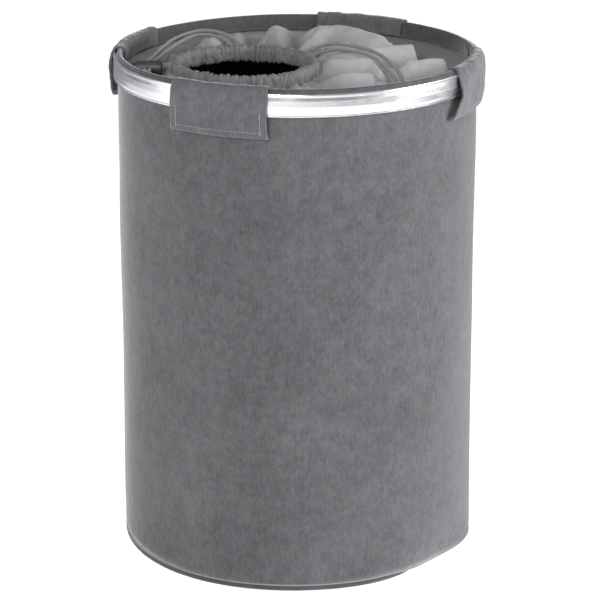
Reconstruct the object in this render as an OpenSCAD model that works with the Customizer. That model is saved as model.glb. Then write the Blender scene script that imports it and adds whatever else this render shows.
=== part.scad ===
// Round laundry hamper: a stiffened corduroy sleeve that hangs from a bare aluminium
// hoop in four sewn loops, closed by a fabric lid with a gathered drawstring neck.
// Origin at the centre of the underside, +Z up, front towards -Y, millimetres.

/* [Overall] */
// Height of the sleeve from the floor to the top fold
hamper_h = 500; // [400:5:650]
// Outside radius of the sleeve
sleeve_r = 176; // [150:1:220]

/* [Fabric] */
// Thickness of the corduroy
cord_cloth_t = 1.2; // [0.8:0.1:1.6]
// Thickness of the felt stiffener inside the sleeve
stiffener_t = 1.6; // [1:0.1:3]
// Thickness of the lining
lining_t = 0.4; // [0.3:0.1:0.8]
// Width of the corduroy facing folded down inside the mouth
facing_w = 18; // [12:1:30]
// Thickness of the lid fabric
lid_t = 0.8; // [0.5:0.1:1.2]

/* [Base] */
// Thickness of the stiff base board
board_t = 2.5; // [1.5:0.5:5]
// Height of the fabric edge under the bottom seam
base_edge_h = 5.5; // [4:0.5:12]
// Thickness of the piping in the bottom seam
piping_d = 1.6; // [1.2:0.2:3]

/* [Hoop] */
// Height of the hoop's aluminium section
hoop_h = 22; // [16:1:32]
// Depth of the hoop's section from the outside face to the lips
hoop_depth = 3.6; // [3.4:0.1:6]
// Wall of the hoop's outer web
hoop_wall = 1.4; // [1:0.1:1.8]
// Thickness of the hoop's inward lips
hoop_lip = 1.6; // [1.2:0.1:2.5]
// Drop from the top fold of the sleeve to the top of the hoop
hoop_drop = 3.6; // [2:0.2:10]
// Length of the strip that joins the hoop's ends
connector_l = 60; // [40:5:100]
// Radius of the rivets' shanks
rivet_r = 1.6; // [1.2:0.1:2.5]

/* [Loops] */
// Width of each loop round the hoop
loop_w = 98; // [60:2:110]
// Thickness of a loop's folded corduroy
loop_t = 1.6; // [1.2:0.1:2.5]
// Length of a loop under the hoop, down to the edge that is sewn to the sleeve
loop_tail = 20; // [12:1:30]
// Length of a loop's inside leg
loop_inside = 15; // [8:1:20]

/* [Neck] */
// Radius of the gathered neck to the outside of its casing
neck_r = 70; // [50:1:75]
// Height of the neck's casing
casing_h = 14; // [10:1:20]
// Width of the neck's casing
casing_w = 9; // [8:0.5:14]
// Wall of the neck's casing
casing_wall = 1.2; // [0.8:0.1:1.6]
// Depth of the slack lid below its edge
lid_sag = 18; // [18:1:24]

/* [Drawcords] */
// Diameter of the drawcords
cord_d = 3.5; // [2.8:0.1:4.2]
// Diameter of the knot that ties two ends together
knot_d = 10; // [9:0.5:11]

/* [Cord stops] */
// Outside diameter of a stop's barrel
stop_d = 14; // [13:0.5:14]
// Length of a stop's barrel from the cords to its closed end
stop_back = 14; // [13.5:0.5:16]
// Length of a stop's barrel from the cords to its mouth
stop_mouth = 11; // [10:0.5:13]
// How far the button stands out of the barrel's mouth
button_out = 4.5; // [4:0.5:6]
// Outside diameter of the button that slides in the barrel
button_d = 10.4; // [9:0.2:11]
// Travel of the button
button_travel = 3; // [2:0.5:3.5]
// Wire diameter of the button's spring
spring_wire = 0.8; // [0.6:0.1:1]

/* [Clearances] */
// Gap between pieces that move past each other
gap = 0.3; // [0.25:0.05:0.5]
// Gap round the hoop inside its loops
hoop_gap = 0.4; // [0.35:0.05:1]

/* [Hidden] */

corduroy = "#6b6b6f";
felt = "#4c4c50";
polyester = "#85868a";
aluminium = "#d6d8db";
steel = "#b4b6ba";
nylon = "#55565a";

// Radii of the sleeve's layers, from the outside in
stiffener_r = sleeve_r - cord_cloth_t;
lining_r = stiffener_r - stiffener_t;
lining_in = lining_r - lining_t;
facing_r = lining_in - gap;
mouth_r = facing_r - cord_cloth_t;

// The seam allowance down the back of the lining
seam_w = 10;
seam_t = 1;
seam_short = 2;
seam_sweep = seam_w / (2 * PI * lining_in) * 360;

// Levels
board_rest = 0.4;
board_z = cord_cloth_t + board_rest;
board_edge_gap = 2;
base_lining_z = board_z + board_t;
lining_z = base_lining_z + lining_t;
piping_z = base_edge_h + piping_d / 2;
sleeve_z = base_edge_h + piping_d;
fold_z = hamper_h - cord_cloth_t;
sleeve_top = fold_z - gap;
hoop_top = hamper_h - hoop_drop;
hoop_z = hoop_top - hoop_h;
seam_z = hamper_h - facing_w;

// The hoop's own radii
hoop_in = sleeve_r + hoop_gap;
hoop_r = hoop_in + hoop_depth;
web_in = hoop_r - hoop_wall;
lip_clear = 0.6;
connector_t = web_in - hoop_in - lip_clear;
connector_h = hoop_h - 2 * hoop_lip - 1;
rivet_turns = [-0.36, -0.14, 0.14, 0.36];
rivet_recess = 0.5;
rivet_reach = 20;
connector_sweep = connector_l / (2 * PI * hoop_r) * 360;
joint_cut = 0.4;

// Loop places round the mouth, in degrees from the front towards the right
loop_front_at = -24.5;
loop_right_at = 73;
loop_sweep = loop_w / (2 * PI * sleeve_r) * 360;
loop_out = hoop_r + hoop_gap;
loop_foot = hoop_z - hoop_gap - loop_tail;
loop_in = mouth_r;

// The neck's place and levels
neck_at = [-50, -55];
casing_z = hamper_h - casing_h;
channel_w = casing_w - 2 * casing_wall;
channel_h = casing_h - 2 * casing_wall;
casing_mid = neck_r - casing_w / 2;
cord_r = cord_d / 2;
// The two drawcords lie in the casing one above the other
cord_rest = 0.6;
upper_cord_z = hamper_h - casing_wall - cord_r - cord_rest;
lower_cord_z = casing_z + casing_wall + cord_r + cord_rest;
slot_gap = 0.2;

// Where each pair of tails leaves the casing, in degrees from +X, and half its spread
right_exit = 45;
left_exit = 97;
exit_half = 4.5;

// Cord stops: the middle of the two cords that each one holds, from the top fold
stop_right_at = [97.5, -100, -22];
stop_left_at = [-144.5, -40, -10];
button_r = button_d / 2;
bore_r = button_r + gap;
strand_half = 2.5;
hole_w = 2 * strand_half + cord_d + 2 * gap + 0.1;
hole_h = cord_d + 2 * gap;
end_wall = 1.8;
land = 1.6;
spring_floor = end_wall - stop_back;
button_end = -hole_w / 2 - land;
spring_turns = 4;
spring_r = 3.2;

function from_top(p) = [for (q = p) q + [0, 0, hamper_h]];

// Routes of the free tails, from the casing to the knot, with heights from the top fold
right_outer = from_top([
    [-4, -1, -10.5], [12, 7, -3], [32, 6, 3], [55, -8, 4], [76, -27, 2],
    [90, -45, -4], [98, -58, -13], [100.5, -68, -19.5], [100, -77, -22], [100, -86, -22],
    [100, -104, -22], [100, -122, -22]
]);
right_inner = from_top([
    [5, -8, -10.5], [20, -9, -3], [38, -15, 2], [58, -27, 2.5], [75, -41, -0.5],
    [86, -52, -8], [92.5, -61, -15.5], [95, -69, -20], [95, -77, -22], [95, -86, -22],
    [95, -104, -22], [95, -122, -22]
]);
left_outer = from_top([
    [-53, 16, -3.5], [-59, 31, 0], [-70, 48, 3], [-83, 61, 4], [-98, 65, 3.5],
    [-112, 58, 1.5], [-124, 43, -1], [-133, 24, -4.5], [-140, 5, -8], [-145, -10, -10],
    [-147, -22, -10], [-147, -36, -10], [-147, -50, -10], [-147, -62, -10]
]);
left_inner = from_top([
    [-64, 14.5, -3.5], [-68, 29, -0.5], [-77, 43, 1.5], [-88, 53, 2], [-100, 54, 1.5],
    [-110.5, 46, -0.5], [-119.5, 33, -3], [-128, 16, -6], [-135, -1, -9], [-140.5, -12, -10],
    [-142, -22, -10], [-142, -36, -10], [-142, -50, -10], [-142, -62, -10]
]);
tail_sides = 8;

$fn = 96;

// A smooth curve through a route's points, as one list of points
function spline_at(p, i, t) =
    let (n = len(p) - 1,
         a = p[max(i - 1, 0)], b = p[i], c = p[min(i + 1, n)], d = p[min(i + 2, n)])
    0.5 * (2 * b + (c - a) * t + (2 * a - 5 * b + 4 * c - d) * t * t
           + (3 * b - a - 3 * c + d) * t * t * t);
function smooth(p, steps) = concat(
    [for (i = [0 : len(p) - 2], s = [0 : steps - 1]) spline_at(p, i, s / steps)],
    [p[len(p) - 1]]
);
function unit(v) = v / norm(v);
// Direction of a line of points at one of them
function heading(p, i) = unit(p[min(i + 1, len(p) - 1)] - p[max(i - 1, 0)]);
// A side direction that turns with the line and never twists
function side(h) = unit(cross(h, abs(h[2]) < 0.9 ? [0, 0, 1] : [0, 1, 0]));
function ring_at(p, i, r) =
    let (h = heading(p, i), u = side(h), v = cross(h, u))
    [for (k = [0 : tail_sides - 1]) let (a = 360 * k / tail_sides)
        p[i] + r * (cos(a) * u + sin(a) * v)];

module tube_along(p, r) {
    n = len(p);
    s = tail_sides;
    points = [for (i = [0 : n - 1]) each ring_at(p, i, r)];
    faces = concat(
        [[for (k = [0 : s - 1]) k]],
        [[for (k = [0 : s - 1]) (n - 1) * s + s - 1 - k]],
        [for (i = [0 : n - 2], k = [0 : s - 1])
            let (a = i * s + k, b = i * s + (k + 1) % s)
            each [[a, a + s, b + s], [a, b + s, b]]]
    );
    polyhedron(points, faces, convexity = 6);
}

// A ring round the hamper's axis with a rectangular section
module band(inner, outer, low, high) {
    rotate_extrude() translate([inner, low]) square([outer - inner, high - low]);
}

// ---- base ----
module base_cover() {
    color(corduroy) rotate_extrude() polygon([
        [0, 0], [sleeve_r - 1, 0], [sleeve_r, 1], [sleeve_r, base_edge_h],
        [sleeve_r - cord_cloth_t, base_edge_h], [sleeve_r - cord_cloth_t, cord_cloth_t],
        [0, cord_cloth_t]
    ]);
}

module base_board() {
    color("#3a3a3c") translate([0, 0, board_z])
        cylinder(h = board_t, r = lining_in - board_edge_gap);
}

module base_lining() {
    color(polyester) translate([0, 0, base_lining_z]) cylinder(h = lining_t, r = lining_in);
}

module base_piping() {
    color("#8c8c90") rotate_extrude()
        translate([sleeve_r - piping_d / 2, piping_z]) circle(d = piping_d);
}

// ---- sleeve ----
module outer_sleeve() {
    color(corduroy) band(stiffener_r, sleeve_r, sleeve_z, sleeve_top);
}

module stiffener_sleeve() {
    color(felt) band(lining_r, stiffener_r, sleeve_z, sleeve_top);
}

module lining_sleeve() {
    color(polyester) band(lining_in, lining_r, lining_z, sleeve_top);
}

// The lining's joined edges, folded flat inside the back of the sleeve
module sleeve_seam() {
    color(polyester) rotate([0, 0, 90 - seam_sweep / 2]) rotate_extrude(angle = seam_sweep)
        translate([lining_in - seam_t, lining_z])
            square([seam_t, seam_z - seam_short - lining_z]);
}

// The corduroy folded over the top of the layers and down inside the mouth
module mouth_facing() {
    fold = cord_cloth_t * 0.8;
    color(corduroy) rotate_extrude() polygon([
        [mouth_r, seam_z], [mouth_r, hamper_h - fold], [mouth_r + fold, hamper_h],
        [sleeve_r - fold, hamper_h], [sleeve_r, hamper_h - fold], [sleeve_r, fold_z],
        [facing_r, fold_z], [facing_r, seam_z]
    ]);
}

// ---- hoop ----
// Section: a channel open inwards with a bead on each edge of its face
module hoop_section() {
    bead = 3.4;
    groove = 0.5;
    foot_bead = 2;
    polygon([
        [hoop_in, hoop_z], [hoop_r - 0.6, hoop_z], [hoop_r, hoop_z + 0.6],
        [hoop_r, hoop_z + foot_bead - 0.4], [hoop_r - groove, hoop_z + foot_bead],
        [hoop_r - 0.15, hoop_z + foot_bead + 2.5], [hoop_r, hoop_z + hoop_h * 0.45],
        [hoop_r - 0.15, hoop_top - bead - 3], [hoop_r - groove, hoop_top - bead],
        [hoop_r, hoop_top - bead + 0.6], [hoop_r, hoop_top - 1.2],
        [hoop_r - 0.35, hoop_top - 0.35], [hoop_r - 1.2, hoop_top], [hoop_in, hoop_top],
        [hoop_in, hoop_top - hoop_lip], [web_in, hoop_top - hoop_lip],
        [web_in, hoop_z + hoop_lip], [hoop_in, hoop_z + hoop_lip]
    ]);
}

// The hoop's ends meet under the back loop
module at_hoop_joint() {
    rotate([0, 0, loop_front_at + 90]) children();
}

module hoop_profile() {
    color(aluminium) difference() {
        rotate_extrude() hoop_section();
        at_hoop_joint() translate([hoop_in - 1, -joint_cut / 2, hoop_z - 1])
            cube([hoop_depth + 2, joint_cut, hoop_h + 2]);
        rivet_places() cylinder(h = rivet_reach, r = rivet_r, center = true, $fn = 32);
    }
}

// Two rivets each side of the joint, square to the hoop's face
module rivet_places() {
    for (turn = rivet_turns)
        at_hoop_joint() rotate([0, 0, turn * connector_sweep])
            translate([web_in, 0, hoop_z + hoop_h / 2]) rotate([0, 90, 0]) children();
}

module hoop_connector() {
    color(steel) difference() {
        at_hoop_joint() rotate([0, 0, -connector_sweep / 2])
            rotate_extrude(angle = connector_sweep)
                translate([web_in - connector_t, hoop_z + (hoop_h - connector_h) / 2])
                    square([connector_t, connector_h]);
        rivet_places() cylinder(h = rivet_reach, r = rivet_r, center = true, $fn = 32);
    }
}

module hoop_rivets() {
    color(steel) rivet_places() translate([0, 0, -connector_t]) rotate_extrude($fn = 32)
        square([rivet_r, connector_t + hoop_wall - rivet_recess]);
}

// ---- loops ----
// One loop: sewn on below the hoop, up outside it, over the top fold and down inside
module loop(turn) {
    foot_in = sleeve_r + gap;
    over = hamper_h + gap;
    color(corduroy) rotate([0, 0, turn - 90 - loop_sweep / 2])
        rotate_extrude(angle = loop_sweep) polygon([
            [foot_in, loop_foot], [foot_in + loop_t, loop_foot],
            [foot_in + loop_t, loop_foot + loop_tail * 0.6],
            [loop_out + loop_t, hoop_z - hoop_gap],
            [loop_out + loop_t, over - 1.2], [loop_out + loop_t - 1.2, over + 0.4],
            [loop_out - 1, over + loop_t], [loop_in, over + loop_t],
            [loop_in - loop_t + 0.5, over + loop_t - 0.5], [loop_in - loop_t, over],
            [loop_in - loop_t, hamper_h - loop_inside], [loop_in, hamper_h - loop_inside],
            [loop_in, over], [loop_out, over], [loop_out, hoop_z - hoop_gap],
            [foot_in, loop_foot + loop_tail * 0.6]
        ]);
}

module loop_front() { loop(loop_front_at); }
module loop_right() { loop(loop_right_at); }
module loop_back() { loop(loop_front_at + 180); }
module loop_left() { loop(loop_right_at + 180); }

// ---- lid ----
lid_turns = 60;
lid_rings = 10;
lid_under_seam = 0.2;
lid_edge_gap = 0.1;
// Height of the lid's top face at a share of the way from the mouth to the neck, and how
// slack it is there: it hangs lowest towards the front
function slack(a) = lid_sag * (0.55 - 0.45 * sin(a));
function lid_z(s, a) =
    let (rim = seam_z - lid_under_seam, neck = casing_z + 1)
    rim + (neck - rim) * s - slack(a) * sin(180 * pow(s, 0.7));
function lid_point(s, a, drop) =
    let (rim = (facing_r - lid_edge_gap) * [cos(a), sin(a)],
         neck = neck_at + (neck_r + gap) * [cos(a), sin(a)],
         at = rim + (neck - rim) * s)
    [at[0], at[1], lid_z(s, a) - drop];

module lid_fabric() {
    n = lid_turns;
    m = lid_rings;
    top = [for (j = [0 : m], i = [0 : n - 1]) lid_point(j / m, 360 * i / n, 0)];
    under = [for (j = [0 : m], i = [0 : n - 1]) lid_point(j / m, 360 * i / n, lid_t)];
    base = len(top);
    function at(j, i) = j * n + i % n;
    faces = concat(
        [for (j = [0 : m - 1], i = [0 : n - 1], f = [
            [at(j, i), at(j + 1, i), at(j + 1, i + 1)],
            [at(j, i), at(j + 1, i + 1), at(j, i + 1)]]) f],
        [for (j = [0 : m - 1], i = [0 : n - 1], f = [
            [base + at(j, i), base + at(j + 1, i + 1), base + at(j + 1, i)],
            [base + at(j, i), base + at(j, i + 1), base + at(j + 1, i + 1)]]) f],
        [for (i = [0 : n - 1], f = [
            [at(0, i), at(0, i + 1), base + at(0, i + 1)],
            [at(0, i), base + at(0, i + 1), base + at(0, i)],
            [at(m, i), base + at(m, i + 1), at(m, i + 1)],
            [at(m, i), base + at(m, i), base + at(m, i + 1)]]) f]
    );
    color(polyester) polyhedron(concat(top, under), faces, convexity = 6);
}

// ---- neck ----
module at_neck() { translate([neck_at[0], neck_at[1], 0]) children(); }

// A cord's way out through the casing's outer wall
module exit_slots(turn, z) {
    for (s = [-1, 1]) rotate([0, 0, turn + s * exit_half])
        translate([casing_mid, 0, z]) rotate([0, 90, 0])
            cylinder(h = casing_w, r = cord_r + slot_gap, $fn = 24);
}

module neck_casing() {
    color(polyester) at_neck() difference() {
        rotate_extrude() difference() {
            translate([casing_mid - casing_w / 2, casing_z]) square([casing_w, casing_h]);
            translate([casing_mid - channel_w / 2, casing_z + casing_wall])
                square([channel_w, channel_h]);
        }
        exit_slots(right_exit, lower_cord_z);
        exit_slots(left_exit, upper_cord_z);
    }
}

// A drawcord inside the casing: all the way round, with both ends turned out of it
module drawcord(turn, z) {
    color(nylon) at_neck() {
        rotate([0, 0, turn + exit_half]) rotate_extrude(angle = 360 - 2 * exit_half)
            translate([casing_mid, z]) circle(r = cord_r, $fn = 24);
        for (s = [-1, 1]) rotate([0, 0, turn + s * exit_half])
            translate([casing_mid, 0, z]) rotate([0, 90, 0])
                cylinder(h = casing_w / 2, r = cord_r, $fn = 24);
    }
}

module drawcord_right() { drawcord(right_exit, lower_cord_z); }
module drawcord_left() { drawcord(left_exit, upper_cord_z); }

// ---- free tails and knots ----
module tail_right_outer() { color(nylon) tube_along(smooth(right_outer, 2), cord_r); }
module tail_right_inner() { color(nylon) tube_along(smooth(right_inner, 2), cord_r); }
module tail_left_outer() { color(nylon) tube_along(smooth(left_outer, 1), cord_r); }
module tail_left_inner() { color(nylon) tube_along(smooth(left_inner, 1), cord_r); }

// The knot starts with a flat face where the two tails of a pair end
module knot(outer, inner) {
    end = (outer[len(outer) - 1] + inner[len(inner) - 1]) / 2;
    r = knot_d / 2;
    color(nylon) translate(end) rotate([90, 0, 0]) rotate_extrude($fn = 48) polygon([
        [0, 0], [r - 0.5, 0], [r, r * 0.4], [r, r * 1.1], [r * 0.75, r * 1.65], [0, r * 1.8]
    ]);
}

module knot_right() { knot(right_outer, right_inner); }
module knot_left() { knot(left_outer, left_inner); }

// ---- cord stops ----
// A stop lies across two cords, in a frame with +Z out of its mouth and the cords along Y
module stop_frame(at, turn) {
    translate(at + [0, 0, hamper_h]) rotate([0, 0, turn]) rotate([0, 90, 0]) children();
}

// The oval hole that the two cords pass through, widened by more towards the mouth
module cross_hole(more) {
    reach = (hole_w - hole_h) / 2;
    for (z = [-reach, reach + more]) translate([0, 0, z]) rotate([90, 0, 0])
        cylinder(h = 2 * stop_d, r = hole_h / 2, center = true, $fn = 32);
    translate([-hole_h / 2, -stop_d, -reach]) cube([hole_h, 2 * stop_d, 2 * reach + more]);
}

module stop_barrel() {
    round_over = 1.2;
    r = stop_d / 2;
    color("#2f2f32") difference() {
        rotate_extrude($fn = 64) polygon([
            [0, -stop_back], [r - round_over, -stop_back], [r, -stop_back + round_over],
            [r, stop_mouth - 0.6], [r - 0.6, stop_mouth], [bore_r, stop_mouth],
            [bore_r, spring_floor], [0, spring_floor]
        ]);
        cross_hole(0);
    }
}

module stop_button() {
    dome = 1.2;
    top = stop_mouth + button_out;
    color("#3c3c40") difference() {
        rotate_extrude($fn = 64) polygon([
            [0, button_end], [button_r, button_end], [button_r, top - dome],
            [button_r - dome, top], [0, top]
        ]);
        cross_hole(button_travel);
    }
}

module stop_spring() {
    low = spring_floor + spring_wire / 2;
    high = button_end - spring_wire / 2;
    turn_steps = 10;
    n = spring_turns * turn_steps;
    color(steel) tube_along([for (i = [0 : n])
        let (a = 360 * i / turn_steps)
        [spring_r * cos(a), spring_r * sin(a), low + (high - low) * i / n]], spring_wire / 2);
}

module stop_barrel_right() { stop_frame(stop_right_at, 0) stop_barrel(); }
module stop_button_right() { stop_frame(stop_right_at, 0) stop_button(); }
module stop_spring_right() { stop_frame(stop_right_at, 0) stop_spring(); }
module stop_barrel_left() { stop_frame(stop_left_at, 180) stop_barrel(); }
module stop_button_left() { stop_frame(stop_left_at, 180) stop_button(); }
module stop_spring_left() { stop_frame(stop_left_at, 180) stop_spring(); }

base_cover();
base_board();
base_lining();
base_piping();
outer_sleeve();
stiffener_sleeve();
lining_sleeve();
sleeve_seam();
mouth_facing();
hoop_profile();
hoop_connector();
hoop_rivets();
loop_front();
loop_right();
loop_back();
loop_left();
lid_fabric();
neck_casing();
drawcord_right();
drawcord_left();
tail_right_outer();
tail_right_inner();
tail_left_outer();
tail_left_inner();
knot_right();
knot_left();
stop_barrel_right();
stop_button_right();
stop_spring_right();
stop_barrel_left();
stop_button_left();
stop_spring_left();
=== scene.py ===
"""Looks of a round laundry hamper: corduroy sleeve, aluminium hoop in sewn loops, gathered lid.

Lengths are in metres. Angles are in degrees from +X towards +Y, seen from above.
"""
import math

import bmesh
import bpy
from mathutils import Matrix, Vector, noise
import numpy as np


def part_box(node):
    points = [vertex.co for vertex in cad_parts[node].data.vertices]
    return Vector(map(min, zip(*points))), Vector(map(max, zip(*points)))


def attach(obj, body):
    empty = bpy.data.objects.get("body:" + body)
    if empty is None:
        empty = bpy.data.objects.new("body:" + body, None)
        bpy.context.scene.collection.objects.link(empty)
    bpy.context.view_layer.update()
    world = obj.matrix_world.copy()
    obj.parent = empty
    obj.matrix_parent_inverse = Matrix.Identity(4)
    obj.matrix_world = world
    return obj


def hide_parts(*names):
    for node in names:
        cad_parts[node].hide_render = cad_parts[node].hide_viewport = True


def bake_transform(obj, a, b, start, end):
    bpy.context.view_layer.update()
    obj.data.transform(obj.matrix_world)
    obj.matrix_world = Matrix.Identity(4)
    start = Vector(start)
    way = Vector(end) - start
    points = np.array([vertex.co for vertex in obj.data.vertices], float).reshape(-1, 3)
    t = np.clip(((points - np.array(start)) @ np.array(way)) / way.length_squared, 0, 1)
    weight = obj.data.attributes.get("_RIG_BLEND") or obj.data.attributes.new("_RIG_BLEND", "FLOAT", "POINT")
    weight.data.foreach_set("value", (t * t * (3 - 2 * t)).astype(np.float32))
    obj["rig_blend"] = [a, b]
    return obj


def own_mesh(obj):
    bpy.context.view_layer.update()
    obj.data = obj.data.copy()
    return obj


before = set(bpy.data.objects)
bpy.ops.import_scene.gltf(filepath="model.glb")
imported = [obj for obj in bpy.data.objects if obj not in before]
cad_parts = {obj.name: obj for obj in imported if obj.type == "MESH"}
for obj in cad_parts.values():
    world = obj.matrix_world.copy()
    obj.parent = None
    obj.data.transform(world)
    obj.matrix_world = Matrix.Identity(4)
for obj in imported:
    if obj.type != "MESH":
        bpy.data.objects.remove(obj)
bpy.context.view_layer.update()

MM = 0.001

# ---- places taken from the frame ----
SLEEVE_LOW, SLEEVE_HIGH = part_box("outer_sleeve")
FACING_LOW, FACING_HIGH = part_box("mouth_facing")
HOOP_LOW, HOOP_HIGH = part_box("hoop_profile")
CASING_LOW, CASING_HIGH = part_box("neck_casing")
LINING_LOW, LINING_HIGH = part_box("lining_sleeve")
PIPING_LOW, PIPING_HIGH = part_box("base_piping")
FLOOR_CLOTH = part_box("base_lining")
TOP = FACING_HIGH.z
SEAM = FACING_LOW.z
SLEEVE_R = SLEEVE_HIGH.x
LINING_R = LINING_HIGH.x
HOOP_R = HOOP_HIGH.x
FACING_R = LINING_R - 0.7 * MM
CORDUROY_T = 1.2 * MM
COLLAPSE = 390 * MM
NECK = (CASING_LOW + CASING_HIGH) / 2
NECK_R = (CASING_HIGH.x - CASING_LOW.x) / 2
CORD_D = 3.5 * MM

# The top fold lies a little lower at the back, and the facing's sewn edge a little above
# the CAD solid's edge
BACK_DROP = 2.8 * MM
SEWN = SEAM + 1.8 * MM

# The loops round the mouth, from the front anticlockwise seen from above
LOOPS = {"front": -114.5, "right": -17.0, "back": 67.0, "left": 163.0}
LOOP_W = 98 * MM


# ---- camera ----
def add_camera():
    """A long lens at the front, above the rim and tilted down at the hamper."""
    data = bpy.data.cameras.new("camera")
    data.lens = 171.28
    data.sensor_width = 36
    data.shift_x = 0.0045
    data.clip_end = 20
    camera = bpy.data.objects.new("camera", data)
    camera.location = (0, -2.7386, 1.1097)
    camera.rotation_euler = (math.radians(90 - 17.587), 0, 0)
    bpy.context.scene.collection.objects.link(camera)
    bpy.context.scene.camera = camera


add_camera()


# ---- material maths ----
class Wire:
    """A node's output that takes Python's operators."""

    def __init__(self, nodes, socket):
        self.nodes = nodes
        self.socket = socket

    def calc(self, operation, *values):
        settings = {"operation": operation}
        return self.nodes.add("ShaderNodeMath", settings, dict(enumerate(values)))

    def __add__(self, other):
        return self.calc("ADD", self, other)

    def __sub__(self, other):
        return self.calc("SUBTRACT", self, other)

    def __rsub__(self, other):
        return self.calc("SUBTRACT", other, self)

    def __mul__(self, other):
        return self.calc("MULTIPLY", self, other)

    __radd__ = __add__
    __rmul__ = __mul__

    def sine(self):
        return self.calc("SINE", self)

    def within(self, low, high):
        """0 at low, 1 at high and between them in between."""
        values = {"Value": self, "From Min": low, "From Max": high}
        return self.nodes.add("ShaderNodeMapRange", {"clamp": True}, values)


class Nodes:
    """A node tree that grows by one method."""

    def __init__(self, tree):
        self.tree = tree

    def add(self, kind, settings, values, output=0):
        """Any node: its settings first, then its inputs' values or links."""
        node = self.tree.nodes.new(kind)
        for key, value in settings.items():
            if key == "stops":
                self.set_stops(node.color_ramp, value)
            else:
                setattr(node, key, value)
        for key, value in values.items():
            self.feed(node.inputs[key], value)
        return Wire(self, node.outputs[output])

    def feed(self, socket, value):
        if isinstance(value, Wire):
            self.tree.links.new(value.socket, socket)
        elif hasattr(value, "__len__") and len(value) == 3 and socket.type == "RGBA":
            socket.default_value = (*value, 1)
        else:
            socket.default_value = value

    def set_stops(self, ramp, stops):
        while len(ramp.elements) < len(stops):
            ramp.elements.new(1)
        for element, (place, colour) in zip(ramp.elements, stops):
            element.position = place
            element.color = (*colour, 1)

    def parts(self, place):
        """The three numbers of a place."""
        split = self.add("ShaderNodeSeparateXYZ", {}, {0: place}).socket.node
        return [Wire(self, output) for output in split.outputs]


class Finish(Nodes):
    """A procedural material with one Principled shader."""

    def __init__(self, name, **shader):
        self.material = bpy.data.materials.new(name)
        self.material.use_nodes = True
        super().__init__(self.material.node_tree)
        self.shader = self.tree.nodes["Principled BSDF"]
        for socket, value in shader.items():
            self.set(socket.replace("_", " "), value)
        self.place = self.add("ShaderNodeTexCoord", {}, {}, "Object")

    def set(self, socket, value):
        self.feed(self.shader.inputs[socket], value)

    def stretch(self, x, y, z):
        """Object coordinates drawn out by a factor on each axis."""
        values = {0: self.place, 1: (x, y, z)}
        return self.add("ShaderNodeVectorMath", {"operation": "MULTIPLY"}, values)

    def cloud(self, scale, detail=3, place=None, roughness=0.55):
        """Soft noise from 0 to 1, with scale in blobs a metre."""
        values = {
            "Vector": place or self.place,
            "Scale": scale,
            "Detail": detail,
            "Roughness": roughness,
        }
        return self.add("ShaderNodeTexNoise", {}, values, "Fac")

    def round_axis(self):
        """The angle round the hamper's axis, in radians."""
        x, y, _ = self.parts(self.place)
        return y.calc("ARCTAN2", y, x)

    def mix(self, share, first, second):
        """One colour into another."""
        settings = {"data_type": "RGBA"}
        values = {"Factor": share, 6: first, 7: second}
        return self.add("ShaderNodeMix", settings, values, 2)

    def bump(self, height, strength=1.0):
        """A normal from a height in millimetres."""
        values = {"Height": height, "Strength": strength, "Distance": MM}
        return self.add("ShaderNodeBump", {}, values)


# ---- finishes ----
# Corduroy ribs round the whole wall, and cloth threads in radians a metre
RIBS = 450
THREADS = 2600


def corduroy(name, dark, light, rib_height=0.07):
    """Fine corduroy with a brushed velvet nap: ribs run up the hamper."""
    finish = Finish(
        name,
        Roughness=0.95,
        Specular_IOR_Level=0.15,
        Sheen_Weight=0.55,
        Sheen_Roughness=0.38,
        Sheen_Tint=(0.9, 0.9, 0.92, 1),
    )
    turn = finish.round_axis()
    rib = (turn * RIBS).sine() * 0.5 + 0.5
    patches = finish.cloud(11, 4, finish.stretch(1, 1, 0.9), 0.6).within(0.32, 0.68)
    brushed = finish.cloud(80, 5, finish.stretch(1, 1, 0.85), 0.7).within(0.34, 0.66)
    streaks = finish.cloud(300, 3, finish.stretch(1, 1, 0.6), 0.7).within(0.34, 0.66)
    fluff = finish.cloud(1100, 2).within(0.25, 0.75)
    nap = patches * 0.2 + brushed * 0.26 + streaks * 0.28 + rib * 0.12 + fluff * 0.14
    finish.set("Base Color", finish.mix(nap, dark, light))
    height = rib * rib_height + fluff * 0.05 + brushed * 0.25 + streaks * 0.05
    finish.set("Normal", finish.bump(height, 0.8))
    return finish.material


def plain_weave(name, dark, light, valley_shade=None):
    """Thin plain-weave cloth with faint slubs; given valley_shade, painted shade darkens the valleys of its
    folds.
    """
    finish = Finish(
        name,
        Roughness=0.62,
        Specular_IOR_Level=0.3,
        Sheen_Weight=0.1,
        Sheen_Roughness=0.4,
    )
    x, y, z = finish.parts(finish.place)
    across = ((x + z) * THREADS).sine()
    along = ((y + z) * THREADS).sine()
    weave = across * along * 0.5 + 0.5
    creases = finish.cloud(90, 4).within(0.3, 0.7)
    slubs = finish.cloud(420, 2, finish.stretch(1, 1, 0.2)).within(0.35, 0.75)
    shade = creases * 0.5 + slubs * 0.3 + weave * 0.2
    cloth = finish.mix(shade, dark, light)
    # Painted shade: the crest attribute mixes in the darker valley_shade colour at the foot of each fold and
    # near the neck gathers.
    if valley_shade:
        crest = finish.add("ShaderNodeAttribute", {"attribute_name": "crest"}, {}, "Fac")
        cloth = finish.mix(crest, valley_shade, cloth)
    finish.set("Base Color", cloth)
    height = weave * 0.02 + creases * 0.12 + slubs * 0.02
    finish.set("Normal", finish.bump(height, 0.7))
    return finish.material


def needle_felt(name):
    """Dense pressed felt."""
    finish = Finish(name, Roughness=0.95, Specular_IOR_Level=0.1)
    fibres = finish.cloud(900, 5, None, 0.7).within(0.3, 0.7)
    lumps = finish.cloud(120, 3).within(0.3, 0.7)
    shade = fibres * 0.7 + lumps * 0.3
    finish.set("Base Color", finish.mix(shade, (0.045, 0.045, 0.05), (0.1, 0.1, 0.105)))
    finish.set("Normal", finish.bump(fibres * 0.2 + lumps * 0.2))
    return finish.material


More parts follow.
